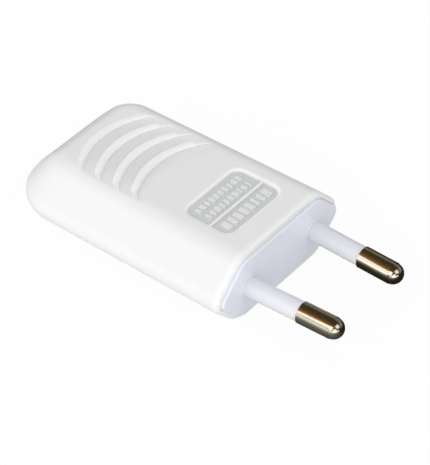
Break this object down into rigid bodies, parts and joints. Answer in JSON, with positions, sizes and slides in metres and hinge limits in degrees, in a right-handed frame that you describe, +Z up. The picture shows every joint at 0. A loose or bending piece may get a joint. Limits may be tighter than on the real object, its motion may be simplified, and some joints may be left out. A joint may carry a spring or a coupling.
{
  "type": "europlug",
  "caption": "Flat two-pin mains plug for a thin flat cord, with a hexagonal hollow housing, sleeved round pins and screw terminals inside.",
  "frame": {"origin": "middle of the engagement face, halfway between the pins", "axes": "+Y from the face to the rear, the pins point along -Y; X across the pins; +Z up out of the broad side with the label panel"},
  "size_m": [0.0346, 0.066, 0.0142],
  "materials": {
    "housing_plastic": "white moulded plastic with a fine satin surface",
    "insert_plastic": "cool white moulded plastic, satin",
    "sleeve_plastic": "cool white moulded plastic, smooth",
    "pin_metal": "polished nickel plate on solid brass",
    "screw_steel": "zinc-plated steel"
  },
  "bodies": {
    "root": {"housing": "housing_plastic", "insert": "insert_plastic", "insert_cover": "insert_plastic", "pin_left": "pin_metal", "pin_right": "pin_metal", "sleeve_left": "sleeve_plastic", "sleeve_right": "sleeve_plastic", "pin_screw_left": "screw_steel", "pin_screw_right": "screw_steel", "cord_clamp": "insert_plastic", "clamp_screw_left": "screw_steel", "clamp_screw_right": "screw_steel"}
  },
  "joints": []
}
